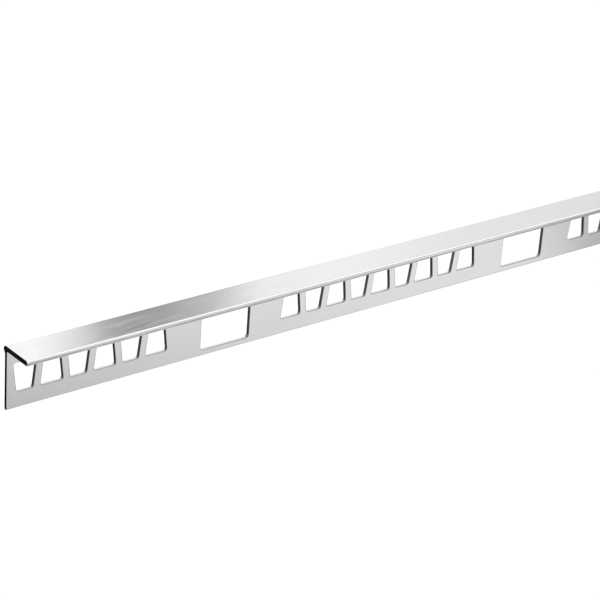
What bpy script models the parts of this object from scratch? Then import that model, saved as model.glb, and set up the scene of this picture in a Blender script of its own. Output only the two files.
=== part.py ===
"""Straight edge trim for tiles: one length of extruded aluminium angle.

The trim lies on its anchoring flange, the way it is laid in adhesive.
X runs along the length, and the end that the punching starts from is at low X.
The flange lies flat, and its free edge is at low Y.
The leg stands on the high Y side, and its outer face is the one that stays in view.
A nose along the heel hangs a little below the flange and carries the part.
The origin is at the middle of the part's box, on the surface it lies on.
"""

import math

import bmesh
import bpy
from mathutils import Vector

# The stock and its section, in metres.
LENGTH = 1.830
LEG_HEIGHT = 0.0100
WIDTH = 0.0160
LEG_WALL = 0.0013
FLANGE_WALL = 0.0009

# The nose along the heel: how far it hangs below the flange, how deep it is at the bottom,
# and how far its slanted back runs before it meets the underside of the flange.
NOSE_DROP = 0.0006
NOSE_DEPTH = 0.00115
NOSE_SLANT = 0.0008

# Radii that the extrusion die leaves on the section. The nose takes nearly all of its depth to turn.
NOSE_RADIUS = 0.0011
FACE_RADIUS = 0.0004
LIP_RADIUS = 0.00025
FLANGE_RADIUS = 0.0002
ROOT_RADIUS = 0.0003

# Land left solid beside the punching: next to the leg, and along the free edge,
# which is narrower beside a window than beside a keying slot.
LEG_LAND = 0.0034
WINDOW_LAND = 0.0015
SLOT_LAND = 0.0040

# One window, then one group of keying slots, over and over.
WINDOW_LENGTH = 0.0143
WINDOW_RADIUS = 0.0008
SLOT_COUNT = 9
SLOT_WIDE = 0.0062
SLOT_NARROW = 0.0044
SLOT_WEB = 0.00185
SLOT_RADIUS = 0.0005
SLOTS_TO_WINDOW = 0.0097
WINDOW_TO_SLOTS = 0.0095

# Where the first window starts, and the least metal left between a punched hole and an end.
FIRST_WINDOW = 0.0533
END_LAND = 0.0007

# How far the punches run past both faces of the flange.
PUNCH_OVERRUN = 0.0005

# Flat steps in a quarter turn of each kind of corner.
NOSE_STEPS = 7
SECTION_STEPS = 4
WINDOW_STEPS = 5
SLOT_STEPS = 2

# Caps and sides of an extruded outline are joined where they share a corner.
WELD_DISTANCE = 0.000001


def clear_scene():
    for item in list(bpy.data.objects):
        bpy.data.objects.remove(item, do_unlink=True)


def new_collection(name):
    group = bpy.data.collections.new(name)
    bpy.context.scene.collection.children.link(group)
    return group


def rounded_outline(corners):
    """Turn corners of (x, y, radius, steps) into points, with an arc at each corner."""
    points = []
    for index, (x, y, radius, steps) in enumerate(corners):
        corner = Vector((x, y))
        before = Vector(corners[index - 1][:2]) - corner
        after = Vector(corners[(index + 1) % len(corners)][:2]) - corner
        if radius <= 0.0:
            points.append(corner)
            continue
        half_angle = before.angle(after) / 2.0
        middle = (before.normalized() + after.normalized()).normalized()
        centre = corner + middle * (radius / math.sin(half_angle))
        start = corner + before.normalized() * (radius / math.tan(half_angle)) - centre
        turn = math.pi - 2.0 * half_angle
        if before.cross(after) > 0.0:
            turn = -turn
        pieces = max(1, round(steps * abs(turn) / (math.pi / 2.0)))
        for step in range(pieces + 1):
            angle = turn * step / pieces
            points.append(centre + Vector((
                start.x * math.cos(angle) - start.y * math.sin(angle),
                start.x * math.sin(angle) + start.y * math.cos(angle),
            )))
    return points


def extruded_outlines(name, outlines, thickness, rotation, location, group):
    """Fill flat outlines, extrude them by a thickness and return one closed mesh object."""
    curve = bpy.data.curves.new(name + "_outline", "CURVE")
    curve.dimensions = "2D"
    curve.fill_mode = "BOTH"
    curve.extrude = thickness / 2.0
    for outline in outlines:
        spline = curve.splines.new("POLY")
        spline.points.add(len(outline) - 1)
        for point, place in zip(spline.points, outline):
            point.co = (place.x, place.y, 0.0, 1.0)
        spline.use_cyclic_u = True
    drawn = bpy.data.objects.new(name + "_outline", curve)
    drawn.rotation_euler = rotation
    drawn.location = location
    group.objects.link(drawn)
    bpy.context.view_layer.update()

    depsgraph = bpy.context.evaluated_depsgraph_get()
    mesh = bpy.data.meshes.new_from_object(drawn.evaluated_get(depsgraph))
    mesh.name = name
    shape = bmesh.new()
    shape.from_mesh(mesh)
    bmesh.ops.remove_doubles(shape, verts=shape.verts, dist=WELD_DISTANCE)
    bmesh.ops.recalc_face_normals(shape, faces=shape.faces)
    shape.to_mesh(mesh)
    shape.free()

    solid = bpy.data.objects.new(name, mesh)
    solid.matrix_world = drawn.matrix_world.copy()
    group.objects.link(solid)
    bpy.data.objects.remove(drawn, do_unlink=True)
    bpy.data.curves.remove(curve)
    return solid


def section_corners():
    """The angle's section, with the world's Y and Z as x and y, from the free edge round."""
    face = WIDTH / 2.0
    edge = -WIDTH / 2.0
    inner_face = face - LEG_WALL
    flange_top = NOSE_DROP + FLANGE_WALL
    return [
        (edge, NOSE_DROP, FLANGE_RADIUS, SECTION_STEPS),
        (face - NOSE_DEPTH - NOSE_SLANT, NOSE_DROP, 0.0, 0),
        (face - NOSE_DEPTH, 0.0, 0.0, 0),
        (face, 0.0, NOSE_RADIUS, NOSE_STEPS),
        (face, LEG_HEIGHT, FACE_RADIUS, SECTION_STEPS),
        (inner_face, LEG_HEIGHT, LIP_RADIUS, SECTION_STEPS),
        (inner_face, flange_top, ROOT_RADIUS, SECTION_STEPS),
        (edge, flange_top, FLANGE_RADIUS, SECTION_STEPS),
    ]


def window_corners(start, low, high):
    """A rounded rectangle that starts at one place along the length."""
    end = start + WINDOW_LENGTH
    return [
        (start, low, WINDOW_RADIUS, WINDOW_STEPS),
        (end, low, WINDOW_RADIUS, WINDOW_STEPS),
        (end, high, WINDOW_RADIUS, WINDOW_STEPS),
        (start, high, WINDOW_RADIUS, WINDOW_STEPS),
    ]


def slot_corners(centre, low, high, wide_low):
    """A rounded trapezium, with its wide side at the free edge or at the leg."""
    low_half = (SLOT_WIDE if wide_low else SLOT_NARROW) / 2.0
    high_half = (SLOT_NARROW if wide_low else SLOT_WIDE) / 2.0
    return [
        (centre - low_half, low, SLOT_RADIUS, SLOT_STEPS),
        (centre + low_half, low, SLOT_RADIUS, SLOT_STEPS),
        (centre + high_half, high, SLOT_RADIUS, SLOT_STEPS),
        (centre - high_half, high, SLOT_RADIUS, SLOT_STEPS),
    ]


def punched_outlines():
    """Every hole in the flange, in plan, as the punching repeats along the stock."""
    near_end = -LENGTH / 2.0
    hole_high = WIDTH / 2.0 - LEG_WALL - LEG_LAND
    window_low = -WIDTH / 2.0 + WINDOW_LAND
    slot_low = -WIDTH / 2.0 + SLOT_LAND
    slot_step = (SLOT_WIDE + SLOT_NARROW) / 2.0 + SLOT_WEB
    group_length = (SLOT_COUNT - 1) * slot_step + SLOT_WIDE
    pitch = group_length + SLOTS_TO_WINDOW + WINDOW_LENGTH + WINDOW_TO_SLOTS

    outlines = []
    for repeat in range(-1, math.ceil(LENGTH / pitch) + 1):
        window_start = FIRST_WINDOW + repeat * pitch
        if window_start >= END_LAND and window_start + WINDOW_LENGTH <= LENGTH - END_LAND:
            corners = window_corners(near_end + window_start, window_low, hole_high)
            outlines.append(rounded_outline(corners))
        first_slot = window_start - SLOTS_TO_WINDOW - group_length + SLOT_WIDE / 2.0
        for number in range(SLOT_COUNT):
            centre = first_slot + number * slot_step
            if centre - SLOT_WIDE / 2.0 < END_LAND:
                continue
            if centre + SLOT_WIDE / 2.0 > LENGTH - END_LAND:
                continue
            corners = slot_corners(near_end + centre, slot_low, hole_high, number % 2 == 0)
            outlines.append(rounded_outline(corners))
    return outlines


def aluminium():
    material = bpy.data.materials.new("mill_aluminium")
    material.use_nodes = True
    shader = material.node_tree.nodes["Principled BSDF"]
    shader.inputs["Base Color"].default_value = (0.80, 0.80, 0.81, 1.0)
    shader.inputs["Metallic"].default_value = 1.0
    shader.inputs["Roughness"].default_value = 0.32
    return material


def build_trim():
    part_group = new_collection("tile_edge_trim")
    cutter_group = new_collection("cutters")

    across = (math.pi / 2.0, 0.0, math.pi / 2.0)
    section = rounded_outline(section_corners())
    trim = extruded_outlines("edge_trim", [section], LENGTH, across, (0.0, 0.0, 0.0), part_group)
    trim.data.materials.append(aluminium())

    flange_middle = NOSE_DROP + FLANGE_WALL / 2.0
    punch_height = FLANGE_WALL + 2.0 * PUNCH_OVERRUN
    flat = (0.0, 0.0, 0.0)
    punches = extruded_outlines(
        "punches", punched_outlines(), punch_height, flat, (0.0, 0.0, flange_middle), cutter_group
    )
    punches.hide_render = True
    punches.display_type = "WIRE"

    punching = trim.modifiers.new("punching", "BOOLEAN")
    punching.operation = "DIFFERENCE"
    punching.solver = "EXACT"
    punching.object = punches


clear_scene()
build_trim()
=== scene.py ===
# %% [markdown]
# # A straight edge trim for tiles
#
# The object is one length of extruded aluminium: a leg that stays in view along the edge of
# the tiles, and a thin flange that is bedded in adhesive. The flange is punched with windows
# and keying slots. The solid model gives the shape and the place of everything, so this lesson
# adds what a solid model leaves out: the burr that a punch raises round each hole, the lines
# that a die draws along the metal, the marks of a saw at the ends, and the light of a studio.

# %% Load the frame
import math

import bmesh
import bpy
from mathutils import Matrix, Vector


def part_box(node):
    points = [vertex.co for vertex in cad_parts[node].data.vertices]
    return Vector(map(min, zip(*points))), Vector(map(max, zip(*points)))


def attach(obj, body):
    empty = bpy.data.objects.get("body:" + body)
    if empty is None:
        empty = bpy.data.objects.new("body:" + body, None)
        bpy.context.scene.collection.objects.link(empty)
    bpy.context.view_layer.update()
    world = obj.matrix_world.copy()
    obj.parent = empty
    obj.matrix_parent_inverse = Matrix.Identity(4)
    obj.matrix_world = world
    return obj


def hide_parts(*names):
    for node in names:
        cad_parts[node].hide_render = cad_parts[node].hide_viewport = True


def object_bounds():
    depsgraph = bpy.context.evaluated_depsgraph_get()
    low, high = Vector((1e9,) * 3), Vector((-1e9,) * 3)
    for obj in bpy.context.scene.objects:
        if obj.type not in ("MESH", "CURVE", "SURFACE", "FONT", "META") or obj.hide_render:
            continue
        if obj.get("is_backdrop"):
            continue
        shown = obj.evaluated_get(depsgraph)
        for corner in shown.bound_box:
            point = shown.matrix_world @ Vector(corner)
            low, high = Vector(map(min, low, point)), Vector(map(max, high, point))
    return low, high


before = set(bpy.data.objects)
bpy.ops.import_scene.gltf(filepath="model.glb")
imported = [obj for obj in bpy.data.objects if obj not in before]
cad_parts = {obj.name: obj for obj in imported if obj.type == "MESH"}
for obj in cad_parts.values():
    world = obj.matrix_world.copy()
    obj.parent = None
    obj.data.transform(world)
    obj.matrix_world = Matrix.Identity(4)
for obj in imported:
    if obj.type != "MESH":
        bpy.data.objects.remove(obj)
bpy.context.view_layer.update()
trim_low, trim_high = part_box("edge_trim")
trim_size = trim_high - trim_low
print("The trim measures, in millimetres:", [round(side * 1000, 2) for side in trim_size])

# %% [markdown]
# ## A working copy of the solid
#
# A node of the frame is a loose set of triangles, fit for simulation. To work on its edges we
# need shared corners. We could draw the section again and extrude it, but then two models would
# have to agree. A merged copy of the node always fits, and the frame's own node is left as it is.

# %% Merge the copied triangles
MERGE_DISTANCE = 0.000002

trim = bmesh.new()
trim.from_mesh(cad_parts["edge_trim"].data)
bmesh.ops.remove_doubles(trim, verts=trim.verts, dist=MERGE_DISTANCE)
print("Merged corners:", len(trim.verts), "triangles:", len(trim.faces))

# %% Find the flange
NEARLY_SQUARE = 0.999
HEIGHT_DIGITS = 5


def level_height(mesh, upward):
    """The height at which most of the mesh's level area looks up (1) or down (-1)."""
    areas = {}
    for face in mesh.faces:
        if face.normal.z * upward > NEARLY_SQUARE:
            height = round(face.calc_center_median().z, HEIGHT_DIGITS)
            areas[height] = areas.get(height, 0.0) + face.calc_area()
    return max(areas, key=areas.get)


flange_top = level_height(trim, 1)
flange_under = level_height(trim, -1)
print("Flange from", round(flange_under * 1000, 2), "to", round(flange_top * 1000, 2), "mm")

# %% Find the walls of the holes
NEARLY_UPRIGHT = 0.01
END_MARGIN = 0.0005
EDGE_STRIP = 0.0005
HEEL_STRIP = 0.004


def at_an_end(face):
    """An end face looks along the stock and lies at one of its two ends."""
    if abs(face.normal.x) <= NEARLY_SQUARE:
        return False
    return abs(face.calc_center_median().x) > trim_high.x - END_MARGIN


def in_flange(place):
    return flange_under - MERGE_DISTANCE <= place.z <= flange_top + MERGE_DISTANCE


def in_punched_strip(place):
    return trim_low.y + EDGE_STRIP < place.y < trim_high.y - HEEL_STRIP


def punched_wall(face):
    """A wall of a hole is upright, and lies in the flange away from its edge and its heel."""
    if abs(face.normal.z) > NEARLY_UPRIGHT or at_an_end(face):
        return False
    middle = face.calc_center_median()
    return in_flange(middle) and in_punched_strip(middle)


print("Triangles in the walls of holes:", sum(punched_wall(face) for face in trim.faces))


# %% Group the walls into holes
def hole_spans(mesh):
    """Follow each hole's walls round and return how far it reaches along the stock."""
    waiting = {face for face in mesh.faces if punched_wall(face)}
    spans = []
    while waiting:
        front = [waiting.pop()]
        reach = []
        while front:
            face = front.pop()
            reach += [vert.co.x for vert in face.verts]
            for edge in face.edges:
                for other in edge.link_faces:
                    if other in waiting:
                        waiting.remove(other)
                        front.append(other)
        spans.append((min(reach), max(reach)))
    return sorted(spans)


holes = hole_spans(trim)
WINDOW_AT_LEAST = 0.010
windows = [span for span in holes if span[1] - span[0] > WINDOW_AT_LEAST]
print("Holes:", len(holes), "of which windows:", len(windows))

# %% [markdown]
# ## Whole faces
#
# A bevel needs whole faces beside its edge, so the triangles that lie in one plane are joined
# again. But a face can't hold a hole in Blender: a plate with holes always has edges that run
# from hole to hole. Where they run is up to us, and a straight cut across the stock through the
# middle of each hole puts them in tidy places. The joining leaves corners halfway along straight
# edges. They hold no shape and cost more than half of the piece's triangles, so they go as well.

# %% Cut across the stock at each hole
CUT_TOLERANCE = MERGE_DISTANCE / 4

cut_places = sorted((low + high) / 2 for low, high in holes)
for place in cut_places:
    bmesh.ops.bisect_plane(
        trim,
        geom=trim.verts[:] + trim.edges[:] + trim.faces[:],
        dist=CUT_TOLERANCE,
        plane_co=(place, 0.0, 0.0),
        plane_no=(1.0, 0.0, 0.0),
    )
print("Cuts across the stock:", len(cut_places))

# %% Join what is flat
FLAT_ANGLE = math.radians(0.5)


def on_a_cut(edge):
    low, high = (vert.co.x for vert in edge.verts)
    if abs(high - low) > MERGE_DISTANCE:
        return False
    return any(abs(low - place) < MERGE_DISTANCE for place in cut_places)


spare = [
    edge for edge in trim.edges
    if edge.is_manifold and edge.calc_face_angle() < FLAT_ANGLE and not on_a_cut(edge)
]
bmesh.ops.dissolve_edges(trim, edges=spare, use_verts=False, use_face_split=False)
halfway = [
    vert for vert in trim.verts
    if len(vert.link_edges) == 2 and vert.calc_edge_angle() < FLAT_ANGLE
]
bmesh.ops.dissolve_verts(trim, verts=halfway)
trim.normal_update()
print("Clean faces:", len(trim.faces), "corners:", len(trim.verts))

# %% [markdown]
# ## The punched edges
#
# A punch that comes up from below leaves three marks on the wall of its hole. It rolls over the
# edge that it enters by, shears a smooth upright land, and where it breaks out at the top it
# tears the metal and pushes up a burr, a ridge a few hundredths of a millimetre high. The torn
# part is dull, and its dark grey also paints the shade of its pits and of the burr, so it draws a
# thin grey line round each hole. All this could be drawn with a bump, but a bump doesn't change
# an outline, so it is made here. A bevel rolls the lower edge. On top, another bevel gives rings
# of corners, and two of the rings are then pulled up into the ridge.

# %% Roll the edges on the lower side
ROLLED_EDGE = 0.00006
ROLLED_STEPS = 2


def rim_edges(mesh, height):
    """The edges where punched walls meet a level side of the flange."""
    rims = []
    for edge in mesh.edges:
        if not edge.is_manifold:
            continue
        if any(abs(vert.co.z - height) > MERGE_DISTANCE for vert in edge.verts):
            continue
        walls = [face for face in edge.link_faces if punched_wall(face)]
        flats = [face for face in edge.link_faces if abs(face.normal.z) > NEARLY_SQUARE]
        if len(walls) == 1 and len(flats) == 1:
            rims.append(edge)
    return rims


def bevel_edges(mesh, edges, width, steps):
    return bmesh.ops.bevel(
        mesh,
        geom=edges,
        affect="EDGES",
        offset=width,
        offset_type="OFFSET",
        segments=steps,
        profile=0.5,
        material=-1,
        loop_slide=False,
    )


rolled_rims = bevel_edges(trim, rim_edges(trim, flange_under), ROLLED_EDGE, ROLLED_STEPS)
trim.normal_update()
print("Faces in the rolled edges:", len(rolled_rims["faces"]))

# %% Pull up the burr on the upper side
BURR_REACH = 0.00014
BURR_STEPS = 3
BURR_FOOT = 0.000008
BURR_TOP = 0.000040
RING_RISES = ((1, BURR_FOOT), (2, BURR_TOP))
RING_TOLERANCE = BURR_REACH * 0.05


def ring_depth(step):
    """How far below the flange's top a bevel's ring lies, for its step of a quarter turn."""
    return BURR_REACH * (1 - math.cos(math.pi / 2 * step / BURR_STEPS))


upper_rims = bevel_edges(trim, rim_edges(trim, flange_top), BURR_REACH, BURR_STEPS)
pulled = 0
for vert in upper_rims["verts"]:
    depth = flange_top - vert.co.z
    for step, rise in RING_RISES:
        if abs(depth - ring_depth(step)) < RING_TOLERANCE:
            vert.co.z = flange_top + rise
            pulled += 1
trim.normal_update()
print("Ring corners pulled up into burrs:", pulled)

# %% [markdown]
# ## The sawn ends
#
# The stock is sawn square. A saw leaves a sharp edge that is broken with one pass of a file,
# which is a very small flat all round the end. One narrow bevel step is enough for it.

# %% Break the edges of the ends
FILED_EDGE = 0.00003
FILED_STEPS = 1

end_edges = []
for edge in trim.edges:
    faces = edge.link_faces
    if len(faces) == 2 and at_an_end(faces[0]) != at_an_end(faces[1]):
        end_edges.append(edge)
bevel_edges(trim, end_edges, FILED_EDGE, FILED_STEPS)
trim.normal_update()
print("Edges filed at the ends:", len(end_edges))

# %% [markdown]
# ## Where each finish goes
#
# The whole trim is one metal, but the die, the punch and the saw each leave it with another
# surface. In the editor we would pick faces and assign them by hand. Here the shape itself says
# which face is which: ends lie at the ends, and a steep face beside a hole is sheared below and
# torn above, where the burr begins. A face keeps its finish as a number, the place of a material
# in the object's list.

# %% Sort the faces by finish
DRAWN, SHEARED, TORN, SAWN = range(4)
STEEP = 0.5

torn_from = flange_top - BURR_REACH


def finish_of(face):
    if at_an_end(face):
        return SAWN
    middle = face.calc_center_median()
    beside_holes = in_punched_strip(middle)
    # The burr's faces take the torn finish, whose dark grey paints shade along each rim.
    if beside_holes and middle.z > flange_top + BURR_FOOT:
        return TORN
    if abs(face.normal.z) > STEEP or not (beside_holes and in_flange(middle)):
        return DRAWN
    return TORN if middle.z > torn_from else SHEARED


finish_counts = {DRAWN: 0, SHEARED: 0, TORN: 0, SAWN: 0}
for face in trim.faces:
    face.material_index = finish_of(face)
    finish_counts[face.material_index] += 1
print("Drawn, sheared, torn and sawn faces:", list(finish_counts.values()))

# %% [markdown]
# ## Shading that follows the section
#
# The die turns its small radii without a break, so their facets are shaded as one curve, and
# only real corners stay sharp. Smooth shading alone would bend the light on the flat faces too,
# because a corner's normal is a mean of the faces round it. A Weighted Normal modifier lets the
# largest face win. Its result is kept in a new mesh, so the finished piece has no modifier.

# %% Make the piece
SHARP_ANGLE = math.radians(34)
LARGE_FACE_WEIGHT = 100

trim_mesh = bpy.data.meshes.new("trim_metal")
trim.to_mesh(trim_mesh)
trim.free()
trim_mesh.shade_smooth()
trim_mesh.set_sharp_from_angle(angle=SHARP_ANGLE)
trim_piece = bpy.data.objects.new("trim_metal", trim_mesh)
bpy.context.scene.collection.objects.link(trim_piece)

weighting = trim_piece.modifiers.new("flat faces stay flat", "WEIGHTED_NORMAL")
weighting.mode = "FACE_AREA"
weighting.weight = LARGE_FACE_WEIGHT
weighting.keep_sharp = True
weighted = bpy.data.meshes.new_from_object(
    trim_piece.evaluated_get(bpy.context.evaluated_depsgraph_get())
)
trim_piece.modifiers.clear()
trim_piece.data = weighted
bpy.data.meshes.remove(trim_mesh)
weighted.name = "trim_metal"
print("Corners in the finished piece:", len(trim_piece.data.vertices))

# %% Let it stand for the solid
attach(trim_piece, "root")
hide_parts("edge_trim")
print("The piece", trim_piece.name, "rides on root and replaces edge_trim")

# %% [markdown]
# ## Marks that belong to the metal
#
# Two marks belong to the drawn faces: long lines from the die and, on the leg, soft cloudy
# patches where the stock was handled. They could be painted on a picture, but a picture has
# seams, and this stock is nearly two metres long. A noise texture has no end. Each mark is a
# node group with named inputs, built once, and a material places it with its own values. A noise
# is as long as it is wide, so its coordinates are stretched first, and the patches lean as a
# hand wipes.


# %% Helpers for nodes
def add_node(tree, kind, **settings):
    """A new node of one kind, with its settings given by name."""
    node = tree.nodes.new(kind)
    for key, value in settings.items():
        setattr(node, key, value)
    return node


def effect_group(name, inputs, outputs):
    """A shader node group with number sockets, and the two nodes at its ends."""
    group = bpy.data.node_groups.new(name, "ShaderNodeTree")
    for side, labels in (("INPUT", inputs), ("OUTPUT", outputs)):
        for label in labels:
            group.interface.new_socket(label, in_out=side, socket_type="NodeSocketFloat")
    return group, group.nodes.new("NodeGroupInput"), group.nodes.new("NodeGroupOutput")


def stretched_place(tree, stretch, lean=0.0):
    """Object coordinates, leaned in the leg's plane. A number under 1 draws out its axis."""
    place = add_node(tree, "ShaderNodeTexCoord")
    mapping = add_node(tree, "ShaderNodeMapping", vector_type="TEXTURE")
    mapping.inputs["Scale"].default_value = [1.0 / side for side in stretch]
    mapping.inputs["Rotation"].default_value = (0.0, lean, 0.0)
    tree.links.new(place.outputs["Object"], mapping.inputs["Vector"])
    return mapping.outputs["Vector"]


# %% Long lines drawn by the die
LINE_STRETCH = (0.012, 1.0, 1.0)
FINER_LINES_SHARE = 0.65


def drawn_lines_group():
    """Noise drawn out along the stock, from 0 to 1."""
    group, given, result = effect_group("drawn lines", ["Lines per metre", "Detail"], ["Lines"])
    noise = add_node(group, "ShaderNodeTexNoise")
    group.links.new(stretched_place(group, LINE_STRETCH), noise.inputs["Vector"])
    group.links.new(given.outputs["Lines per metre"], noise.inputs["Scale"])
    group.links.new(given.outputs["Detail"], noise.inputs["Detail"])
    noise.inputs["Roughness"].default_value = FINER_LINES_SHARE
    group.links.new(noise.outputs["Fac"], result.inputs["Lines"])
    return group


drawn_lines = drawn_lines_group()
print("Made the effect:", drawn_lines.name)

# %% Cloudy patches from handling
PATCH_LEAN = math.radians(9)
PATCH_STRETCH = (0.2, 1.0, 1.0)
PATCH_DETAIL = 4.0
PATCH_EDGE = (0.42, 0.66)


def soft_step(tree, source, low, high):
    """0 at one value, 1 at the other and a smooth change between them."""
    node = add_node(tree, "ShaderNodeMapRange", interpolation_type="SMOOTHSTEP")
    node.inputs["From Min"].default_value = low
    node.inputs["From Max"].default_value = high
    tree.links.new(source, node.inputs["Value"])
    return node.outputs["Result"]


def handling_group():
    """Soft patches that lean over a little: 1 inside a patch and 0 outside it."""
    group, given, result = effect_group("handling marks", ["Patches per metre"], ["Patches"])
    noise = add_node(group, "ShaderNodeTexNoise")
    place = stretched_place(group, PATCH_STRETCH, PATCH_LEAN)
    group.links.new(place, noise.inputs["Vector"])
    group.links.new(given.outputs["Patches per metre"], noise.inputs["Scale"])
    noise.inputs["Detail"].default_value = PATCH_DETAIL
    patches = soft_step(group, noise.outputs["Fac"], *PATCH_EDGE)
    group.links.new(patches, result.inputs["Patches"])
    return group


handling_marks = handling_group()
print("Made the effect:", handling_marks.name)

# %% [markdown]
# ## The drawn finish
#
# Aluminium has no colour of its own to speak of: it is a nearly neutral mirror, made softer by
# marks too fine to see one by one. The die's marks all run along the stock, so the drawn faces
# mirror sharply along their length and blur across it. We could make enough lines to blur the
# mirror by themselves, but they would be finer than a pixel and only add noise. The shader's
# anisotropy does it in one value, and a tangent that goes round the length gives it a direction.
#
# The lines that do show are a bump, deeper on the leg than on the flange, and the patches make
# the leg a little rougher. The lip at the leg's free end looks flat but is slightly crowned, and
# grows darker toward its inner side. That fall is too low to change the outline, so it is a
# bump as well: a parabola that starts at the outer face.

# %% Metal and its relief
METAL_GREY = (0.905, 0.906, 0.908)


def metal_material(name, grey):
    """A material of bare metal, its node tree and its shader."""
    material = bpy.data.materials.new(name)
    material.use_nodes = True
    shader = material.node_tree.nodes["Principled BSDF"]
    shader.inputs["Base Color"].default_value = (*grey, 1.0)
    shader.inputs["Metallic"].default_value = 1.0
    return material, material.node_tree, shader


def math_node(tree, operation, first, second):
    """A math node whose inputs may be sockets or plain numbers."""
    node = add_node(tree, "ShaderNodeMath", operation=operation)
    for slot, value in zip(node.inputs, (first, second)):
        if hasattr(value, "links"):
            tree.links.new(value, slot)
        else:
            slot.default_value = value
    return node.outputs[0]


def object_place(tree, axis):
    """Where each point of the object lies along one axis, in metres."""
    place = add_node(tree, "ShaderNodeTexCoord")
    split = add_node(tree, "ShaderNodeSeparateXYZ")
    tree.links.new(place.outputs["Object"], split.inputs["Vector"])
    return split.outputs[axis]


def raise_relief(tree, shader, height):
    """Tilt the shader's normals by a height in metres, in full."""
    node = add_node(tree, "ShaderNodeBump")
    node.inputs["Distance"].default_value = 1.0
    node.inputs["Strength"].default_value = 1.0
    tree.links.new(height, node.inputs["Height"])
    tree.links.new(node.outputs["Normal"], shader.inputs["Normal"])


# %% Place the marks on the drawn faces
LINES = {"Lines per metre": 900.0, "Detail": 2.0}
FINE_LINES = {"Lines per metre": 5000.0, "Detail": 3.0}
PATCHES = {"Patches per metre": 480.0}
LEG_FADE = 0.0025


def place_group(tree, group, values):
    node = add_node(tree, "ShaderNodeGroup", node_tree=group)
    for label, value in values.items():
        node.inputs[label].default_value = value
    return node.outputs[0]


drawn_material, drawn_tree, drawn_shader = metal_material("drawn aluminium", METAL_GREY)
lines = place_group(drawn_tree, drawn_lines, LINES)
fine_lines = place_group(drawn_tree, drawn_lines, FINE_LINES)
patches = place_group(drawn_tree, handling_marks, PATCHES)
height_on_trim = object_place(drawn_tree, "Z")
on_the_leg = soft_step(drawn_tree, height_on_trim, flange_top, flange_top + LEG_FADE)
print("Marks on the drawn faces:", drawn_lines.name, "twice and", handling_marks.name)

# %% Blur the mirror
LEAST_ROUGHNESS = 0.05
FINE_LINES_ROUGHEN = 0.10
PATCHES_ROUGHEN = 0.065
BLUR_ACROSS = 0.9

rough = math_node(drawn_tree, "MULTIPLY", fine_lines, FINE_LINES_ROUGHEN)
rough = math_node(drawn_tree, "ADD", rough, LEAST_ROUGHNESS)
cloud = math_node(drawn_tree, "MULTIPLY", patches, PATCHES_ROUGHEN)
cloud = math_node(drawn_tree, "MULTIPLY", cloud, on_the_leg)
rough = math_node(drawn_tree, "ADD", rough, cloud)
drawn_tree.links.new(rough, drawn_shader.inputs["Roughness"])
drawn_shader.inputs["Anisotropic"].default_value = BLUR_ACROSS
tangent = add_node(drawn_tree, "ShaderNodeTangent", direction_type="RADIAL", axis="X")
drawn_tree.links.new(tangent.outputs["Tangent"], drawn_shader.inputs["Tangent"])
print("Anisotropy of the drawn faces:", BLUR_ACROSS)

# %% Raise the lines and crown the lip
LINE_DEPTH = 0.000004
FINE_LINE_DEPTH = 0.0000004
LIP_ZONE = 0.00004
LIP_CROWN = 30.0

depth = math_node(drawn_tree, "MULTIPLY", on_the_leg, LINE_DEPTH)
depth = math_node(drawn_tree, "ADD", depth, FINE_LINE_DEPTH)
relief = math_node(drawn_tree, "MULTIPLY", lines, depth)
fine_relief = math_node(drawn_tree, "MULTIPLY", fine_lines, FINE_LINE_DEPTH)
relief = math_node(drawn_tree, "ADD", relief, fine_relief)

on_the_lip = soft_step(drawn_tree, height_on_trim, trim_high.z - LIP_ZONE, trim_high.z)
inward = math_node(drawn_tree, "SUBTRACT", object_place(drawn_tree, "Y"), trim_high.y)
crown = math_node(drawn_tree, "MULTIPLY", inward, inward)
crown = math_node(drawn_tree, "MULTIPLY", crown, LIP_CROWN)
crown = math_node(drawn_tree, "MULTIPLY", crown, on_the_lip)
raise_relief(drawn_tree, drawn_shader, math_node(drawn_tree, "SUBTRACT", relief, crown))
print("Line depth on the leg, in microns:", round(LINE_DEPTH * 1000000, 1))

# %% [markdown]
# ## The sheared, torn and sawn finishes
#
# These three differ in how rough and how dark they are, and in how coarse their grain is. The
# torn one's dark grey is partly the dull torn metal's own and partly painted shade of its pits
# and of the burr. The grain runs up the wall after a punch, and up and down the end after a saw,
# so one function makes all three from a noise that is drawn out along Z. The walls get one thing
# more. A hole widens a little toward the side where the punch breaks out, so its walls look up a
# little and mirror a higher part of the tent. The solid's walls are upright, and the widening is
# too small to model, so a height that falls with Z tilts their normals.

# %% Make a grained finish
WALL_TAPER = math.tan(math.radians(8))
SHEARED_GREY = (0.93, 0.93, 0.93)
# The torn grey is partly the dull torn metal's own and partly painted shade of its pits and the
# burr.
TORN_GREY_AND_SHADE = (0.42, 0.42, 0.42)


def grained_finish(name, grey, roughness, stretch, grains_per_metre, depth, taper=0.0):
    """A finish with one grain, stretched along the way that the tool went, on a tapered wall."""
    material, tree, shader = metal_material(name, grey)
    shader.inputs["Roughness"].default_value = roughness
    noise = add_node(tree, "ShaderNodeTexNoise")
    tree.links.new(stretched_place(tree, stretch), noise.inputs["Vector"])
    noise.inputs["Scale"].default_value = grains_per_metre
    height = math_node(tree, "MULTIPLY", noise.outputs["Fac"], depth)
    lowering = math_node(tree, "MULTIPLY", object_place(tree, "Z"), -taper)
    raise_relief(tree, shader, math_node(tree, "ADD", height, lowering))
    return material


sheared_material = grained_finish(
    "sheared aluminium",
    grey=SHEARED_GREY,
    roughness=0.25,
    stretch=(1.0, 1.0, 0.05),
    grains_per_metre=9000.0,
    depth=0.000003,
    taper=WALL_TAPER,
)
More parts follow.
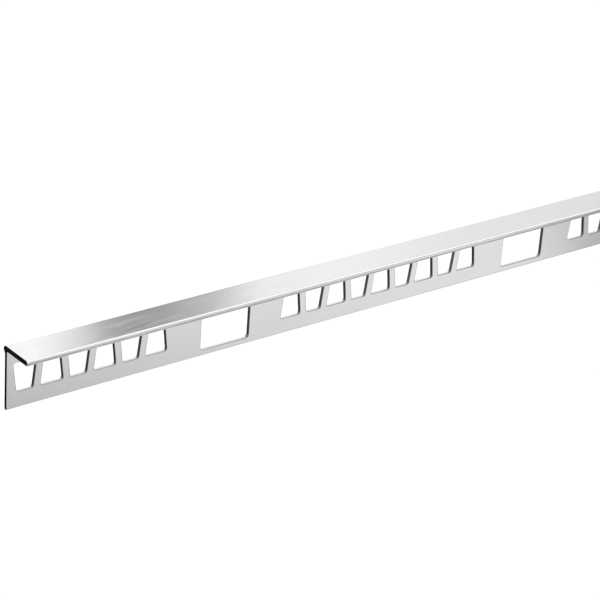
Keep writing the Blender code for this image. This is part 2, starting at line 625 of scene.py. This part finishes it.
# Torn aluminium with painted shade: its dark grey stands in for the shade in its pits and by the
# burr.
torn_and_shaded_material = grained_finish(
    "torn aluminium with painted shade",
    grey=TORN_GREY_AND_SHADE,
    roughness=0.5,
    stretch=(1.0, 1.0, 0.4),
    grains_per_metre=12000.0,
    depth=0.000012,
    taper=WALL_TAPER,
)
sawn_material = grained_finish(
    "sawn aluminium",
    grey=METAL_GREY,
    roughness=0.2,
    stretch=(1.0, 1.0, 0.08),
    grains_per_metre=6000.0,
    depth=0.000006,
)
print("Grained finishes:", sheared_material.name, torn_and_shaded_material.name, sawn_material.name)

# %% Give the piece its finishes
for finish in (drawn_material, sheared_material, torn_and_shaded_material, sawn_material):
    trim_piece.data.materials.append(finish)
used_finishes = sorted({face.material_index for face in trim_piece.data.polygons})
print("Finishes in use:", [trim_piece.data.materials[index].name for index in used_finishes])

# %% [markdown]
# ## The studio
#
# Bright metal shows its surroundings, so the surroundings are part of the picture. What the trim
# mirrors in the photograph looks like a light tent: white walls with a dark gap between two of
# them, a roof with a darker band on one side, a dark doorway, and black cards beside the near
# end, which is why that end and some walls of the holes are nearly black. Real panels would need
# a place and a size each, and the floor would hide some of them. The faces of a straight section
# are long and flat, so each one mirrors a narrow strip of directions, and it is simpler to give
# a grey to each direction. A world shader does that. Its three coordinates are called along,
# across and upward here, as they run on the trim.
#
# The leg mirrors the walls of the tent, and the flange and the lip mirror its roof. The gap lies
# along the leg's reflection, so its steps follow a direction's reach along the stock. Its foot
# and head follow the slope, across over upward, because what the walls of the holes mirror has a
# lower slope than what the leg mirrors.

# %% Start the world
tent_world = bpy.data.worlds.new("light tent")
tent_world.use_nodes = True
tent = tent_world.node_tree
direction = add_node(tent, "ShaderNodeTexCoord").outputs["Generated"]
split_direction = add_node(tent, "ShaderNodeSeparateXYZ")
tent.links.new(direction, split_direction.inputs["Vector"])
along, across, upward = split_direction.outputs
bpy.context.scene.world = tent_world
print("The world is the", tent_world.name)


# %% Helpers for greys
def grey_ramp(tree, source, steps):
    """Soft steps of grey, as places and greys. A ramp holds no grey over 1, so it is scaled."""
    low, high = steps[0][0], steps[-1][0]
    brightest = max(grey for position, grey in steps)
    reach = add_node(tree, "ShaderNodeMapRange")
    reach.inputs["From Min"].default_value = low
    reach.inputs["From Max"].default_value = high
    tree.links.new(source, reach.inputs["Value"])
    ramp = add_node(tree, "ShaderNodeValToRGB")
    stops = ramp.color_ramp
    stops.interpolation = "EASE"
    while len(stops.elements) < len(steps):
        stops.elements.new(1.0)
    for stop, (position, grey) in zip(stops.elements, steps):
        stop.position = (position - low) / (high - low)
        stop.color = (grey / brightest,) * 3 + (1.0,)
    tree.links.new(reach.outputs["Result"], ramp.inputs["Fac"])
    return math_node(tree, "MULTIPLY", ramp.outputs["Color"], brightest)


def blend_values(tree, factor, first, second):
    """The first value where the factor is 0, the second where it is 1."""
    node = add_node(tree, "ShaderNodeMix", data_type="FLOAT")
    for label, value in (("Factor", factor), ("A", first), ("B", second)):
        if hasattr(value, "links"):
            tree.links.new(value, node.inputs[label])
        else:
            node.inputs[label].default_value = value
    return node.outputs["Result"]


# %% Walls with a dark gap
GAP_STEPS = [
    (0.472, 0.90), (0.518, 1.05), (0.534, 0.86), (0.548, 0.42), (0.559, 0.31), (0.584, 0.50),
    (0.606, 0.94), (0.632, 0.96), (0.682, 0.85), (0.752, 0.77),
]
GAP_LEAN = 0.1
GAP_FOOT = (-1.05, -0.85)
GAP_HEAD = (-0.50, 0.0)
HEAD_SHARE = 0.3
WALL_GREY = 0.95
LOW_WALL = (-1.7, -1.3)
LOW_GREY = 0.5
CEILING_GREY = 1.2

leaning = math_node(tent, "MULTIPLY", across, GAP_LEAN)
walls = grey_ramp(tent, math_node(tent, "ADD", along, leaning), GAP_STEPS)
slope = math_node(tent, "DIVIDE", across, upward)
walls = blend_values(tent, soft_step(tent, slope, *GAP_FOOT), WALL_GREY, walls)
walls = blend_values(tent, soft_step(tent, slope, *LOW_WALL), LOW_GREY, walls)
head = math_node(tent, "MULTIPLY", soft_step(tent, slope, *GAP_HEAD), HEAD_SHARE)
walls = blend_values(tent, head, walls, CEILING_GREY)
print("Steps across the gap:", len(GAP_STEPS))

# %% A roof with a darker band
ROOF_STEPS = [
    (-0.66, 0.62), (-0.56, 0.42), (-0.52, 0.34), (-0.477, 0.40), (-0.457, 0.67), (-0.432, 0.83),
    (-0.382, 0.86), (-0.30, 0.66), (0.05, 0.60), (0.48, 0.66), (0.64, 1.35),
]
OVERHEAD = (0.80, 0.92)
HORIZON = (-0.30, -0.05)

roof = grey_ramp(tent, across, ROOF_STEPS)
roof = blend_values(tent, soft_step(tent, upward, *OVERHEAD), roof, CEILING_GREY)
above = soft_step(tent, upward, *HORIZON)
tent_light = blend_values(tent, above, walls, roof)
print("Steps across the roof:", len(ROOF_STEPS))

# %% A dark doorway beyond the far end
DOORWAY_STEPS = [(0.523, 1.0), (0.541, 0.86), (0.555, 0.60), (0.603, 0.18)]
DOORWAY_LEAN = -0.2
DOORWAY_SIDE = (-0.30, -0.15)

leaning = math_node(tent, "MULTIPLY", upward, DOORWAY_LEAN)
doorway = grey_ramp(tent, math_node(tent, "ADD", along, leaning), DOORWAY_STEPS)
doorway = blend_values(tent, soft_step(tent, across, *DOORWAY_SIDE), doorway, 1.0)
doorway = blend_values(tent, above, 1.0, doorway)
tent_light = math_node(tent, "MULTIPLY", tent_light, doorway)
print("Steps into the doorway:", len(DOORWAY_STEPS))

# %% [markdown]
# ## The rest of the tent
#
# From the photograph's side the trim mirrors only a part of the tent. If the rest were all
# white, a mirror on a white floor would vanish from any other side. So the parts that only other
# views mirror are darker: those behind the near end, and those low down beyond the far one.
#
# The two black cards are round patches of the tent, given by a direction and by greys that grow
# with the angle from it. The larger and darker one is mirrored by the near end, and by the walls
# of the holes that face the same way. The other is mirrored at the rounded corners, where such
# a wall turns into the next.
#
# Last, the floor gets only a weak even light from the tent, and the camera sees plain white
# where it looks past the trim.

# %% Darker parts for other views
BEHIND_GREY = 0.5
BEHIND = (0.15, 0.40)
BEYOND_SHADE = 0.5
BEYOND_ALONG = (0.60, 0.68)
BEYOND_ACROSS = (-0.45, -0.60)
BEYOND_UPWARD = (0.10, -0.10)

behind = blend_values(tent, soft_step(tent, along, *BEHIND), BEHIND_GREY, 1.0)
beyond = math_node(tent, "MULTIPLY", soft_step(tent, along, *BEYOND_ALONG), BEYOND_SHADE)
beyond = math_node(tent, "MULTIPLY", beyond, soft_step(tent, across, *BEYOND_ACROSS))
beyond = math_node(tent, "MULTIPLY", beyond, soft_step(tent, upward, *BEYOND_UPWARD))
tent_light = math_node(tent, "MULTIPLY", tent_light, behind)
tent_light = math_node(tent, "MULTIPLY", tent_light, math_node(tent, "SUBTRACT", 1.0, beyond))
print("Grey behind the near end:", BEHIND_GREY)

# %% Two black cards
CARDS = [
    {
        "toward": (-0.45, 0.47, -0.76),
        "greys": [(0.0, 0.08), (14.0, 0.10), (35.0, 0.50)],
        "edge": (18.0, 35.0),
    },
    {
        "toward": (-0.467, -0.449, -0.762),
        "greys": [(0.0, 0.003), (10.0, 0.01), (25.0, 0.03), (38.0, 0.08), (60.0, 0.60)],
        "edge": (38.0, 60.0),
    },
]

for card in CARDS:
    toward_card = add_node(tent, "ShaderNodeVectorMath", operation="DOT_PRODUCT")
    tent.links.new(direction, toward_card.inputs[0])
    toward_card.inputs[1].default_value = card["toward"]
    angle = math_node(tent, "ARCCOSINE", toward_card.outputs["Value"], 0.0)
    angle = math_node(tent, "DEGREES", angle, 0.0)
    card_light = grey_ramp(tent, angle, card["greys"])
    tent_light = blend_values(tent, soft_step(tent, angle, *card["edge"]), card_light, tent_light)
print("Black cards:", len(CARDS))

# %% What the floor and the camera see of it
FLOOR_LIGHT = 0.12
BACKDROP_GREY = 1.0

path = add_node(tent, "ShaderNodeLightPath")
tent_light = blend_values(tent, path.outputs["Is Diffuse Ray"], tent_light, FLOOR_LIGHT)
tent_light = blend_values(tent, path.outputs["Is Camera Ray"], tent_light, BACKDROP_GREY)
tent.links.new(tent_light, tent.nodes["Background"].inputs["Color"])
print("Nodes in the world:", len(tent.nodes))

# %% [markdown]
# ## The floor and its light
#
# The photograph shows the trim against plain white, and the trim lies on a white floor here. A
# floor lit only by lamps would be grey in places and show a horizon, so this one glows by itself,
# and the tent and an overhead panel add what is missing to plain white. The floor is left out of
# mirrors, because the photograph has nothing under the trim, and its leg mirrors the tent there.

# %% Floor
FLOOR_REACH = 12.0
FLOOR_DEPTH = 0.00002
FLOOR_GREY = 0.88
FLOOR_ROUGHNESS = 0.9
FLOOR_GLOW = 0.84
WHITE = (1.0, 1.0, 1.0, 1.0)

floor_shape = bmesh.new()
bmesh.ops.create_grid(floor_shape, x_segments=1, y_segments=1, size=FLOOR_REACH)
bmesh.ops.translate(floor_shape, verts=floor_shape.verts, vec=(0.0, 0.0, -FLOOR_DEPTH))
floor_mesh = bpy.data.meshes.new("floor")
floor_shape.to_mesh(floor_mesh)
floor_shape.free()
floor = bpy.data.objects.new("floor", floor_mesh)
bpy.context.scene.collection.objects.link(floor)
floor.visible_glossy = False
floor.visible_shadow = False
floor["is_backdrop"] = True

floor_material = bpy.data.materials.new("white floor")
floor_material.use_nodes = True
floor_shader = floor_material.node_tree.nodes["Principled BSDF"]
floor_shader.inputs["Base Color"].default_value = (FLOOR_GREY, FLOOR_GREY, FLOOR_GREY, 1.0)
floor_shader.inputs["Roughness"].default_value = FLOOR_ROUGHNESS
floor_shader.inputs["Emission Color"].default_value = WHITE
floor_shader.inputs["Emission Strength"].default_value = FLOOR_GLOW
floor_mesh.materials.append(floor_material)
print("The floor reaches", FLOOR_REACH, "m each way from the middle")

# %% Overhead panel
PANEL_LENGTH = 3.0
PANEL_WIDTH = 2.0
PANEL_HEIGHT = 2.2
PANEL_POWER = 6.0

overhead_data = bpy.data.lights.new("overhead", "AREA")
overhead_data.shape = "RECTANGLE"
overhead_data.size = PANEL_LENGTH
overhead_data.size_y = PANEL_WIDTH
overhead_data.energy = PANEL_POWER
overhead = bpy.data.objects.new("overhead", overhead_data)
overhead.location = (0.0, 0.0, PANEL_HEIGHT)
overhead.visible_glossy = False
bpy.context.scene.collection.objects.link(overhead)
print("The panel hangs", PANEL_HEIGHT, "m above the floor")

# %% [markdown]
# ## The camera
#
# The camera looks down on the trim from beyond its near end, on the leg's side. The place and
# the lens were found by fitting the object's straight edges to the photograph. The trim lies on
# its flange here, and in the photograph its leg is on top, so the camera is rolled over as well.
# Two directions, to its right and up, set the roll without three angles that depend on each
# other. The view transform is Standard, which keeps white as white.

# %% Camera
LENS = 134.27
SENSOR = 36.0
NEAREST_SEEN = 0.01
NEAR_CORNER = Vector((trim_low.x, trim_high.y, 0.0))
CAMERA_OFFSET = Vector((-0.23225, 0.22375, 0.38336))
CAMERA_RIGHT = Vector((0.78869, 0.06525, 0.61131))
CAMERA_UP = Vector((0.21375, 0.90322, -0.37217))

camera_data = bpy.data.cameras.new("camera")
camera_data.lens = LENS
camera_data.sensor_width = SENSOR
camera_data.clip_start = NEAREST_SEEN
camera = bpy.data.objects.new("camera", camera_data)
right = CAMERA_RIGHT.normalized()
back = right.cross(CAMERA_UP).normalized()
up = back.cross(right)
turn = Matrix((right, up, back)).transposed()
camera.matrix_world = Matrix.Translation(NEAR_CORNER + CAMERA_OFFSET) @ turn.to_4x4()
bpy.context.scene.collection.objects.link(camera)
bpy.context.scene.camera = camera
print("Camera stands at", [round(value, 3) for value in camera.matrix_world.translation])

# %% Colour
bpy.context.scene.view_settings.view_transform = "Standard"
print("View transform:", bpy.context.scene.view_settings.view_transform)

# %% Measure the dressed trim
made_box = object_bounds()
made_size = made_box[1] - made_box[0]
print("The dressed trim measures, in millimetres:", [round(side * 1000, 2) for side in made_size])
